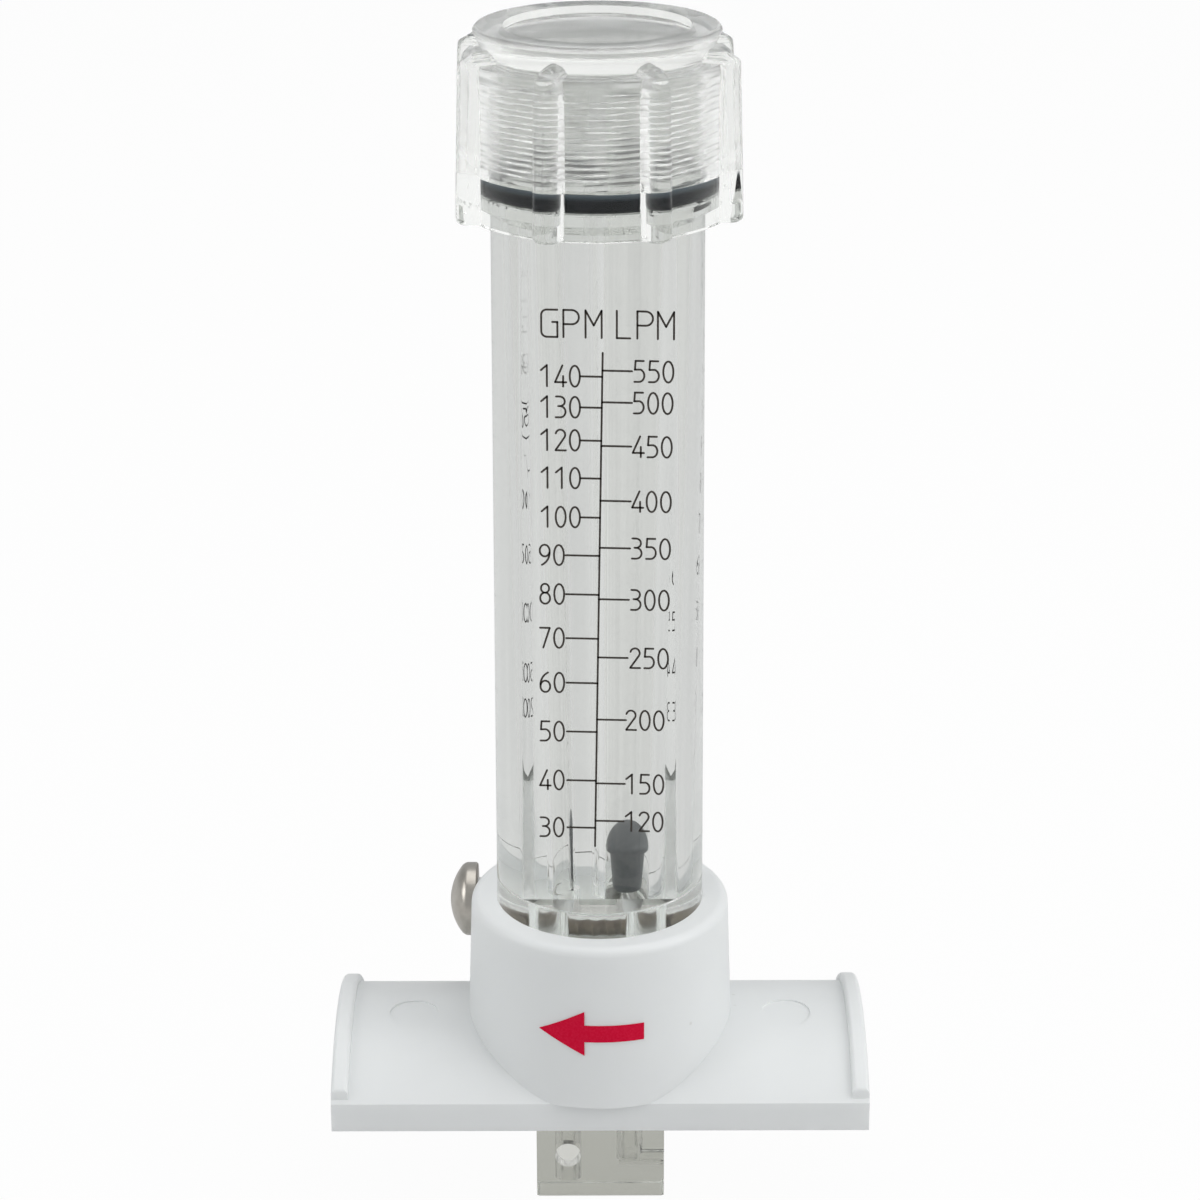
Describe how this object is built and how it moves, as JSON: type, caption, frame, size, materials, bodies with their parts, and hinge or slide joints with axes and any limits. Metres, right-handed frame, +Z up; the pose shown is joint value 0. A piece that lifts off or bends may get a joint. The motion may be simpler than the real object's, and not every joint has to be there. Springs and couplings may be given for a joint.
{
  "type": "saddle-mounted pitot rotameter",
  "caption": "Clear variable-area flow meter with a mushroom float, a dual flow scale and a ribbed screw cap, standing on a pipe saddle with a probe below.",
  "frame": {"origin": "where the upright axis of the meter meets the top of the pipe, on the pipe's outside surface", "axes": "+Z up along the meter, X along the pipe with the flow towards -X, and the printed face looks to -Y"},
  "size_m": [0.0974, 0.0492, 0.2223],
  "materials": {
    "clear_body": "clear polished acrylic",
    "clear_cap": "clear moulded acrylic",
    "float_grey": "satin dark grey",
    "black_rubber": "smooth black rubber",
    "gasket_rubber": "matt black rubber",
    "white_plastic": "semi-gloss white moulding",
    "stainless": "plain stainless steel",
    "red_print": "crimson printed film",
    "dark_print": "dark screen print"
  },
  "bodies": {
    "meter": {"meter_body": "clear_body", "saddle": "white_plastic", "saddle_gasket": "gasket_rubber", "body_seal": "black_rubber", "retaining_screw": "stainless", "flow_arrow": "red_print", "scale_print": "dark_print"},
    "float": {"float": "float_grey"},
    "cap_seal": {"cap_seal": "black_rubber"},
    "cap": {"cap": "clear_cap"}
  },
  "joints": [
    {"name": "float_rise", "type": "slide", "parent": "meter", "child": "float", "axis": [0.0082, 0, 1], "range_m": [0, 0.1405]},
    {"name": "cap_lift", "type": "slide", "parent": "meter", "child": "cap_seal", "axis": [0, 0, 1], "range_m": [0, 0.0141]},
    {"name": "cap_turn", "type": "hinge", "parent": "cap_seal", "child": "cap", "pos_m": [0, 0, 0.17], "axis": [0, 0, 1], "range_deg": [0, 2520]}
  ],
  "couplings": [
    {"joint": "cap_lift", "follows": "cap_turn", "m_per_rad": 0.00031831}
  ]
}
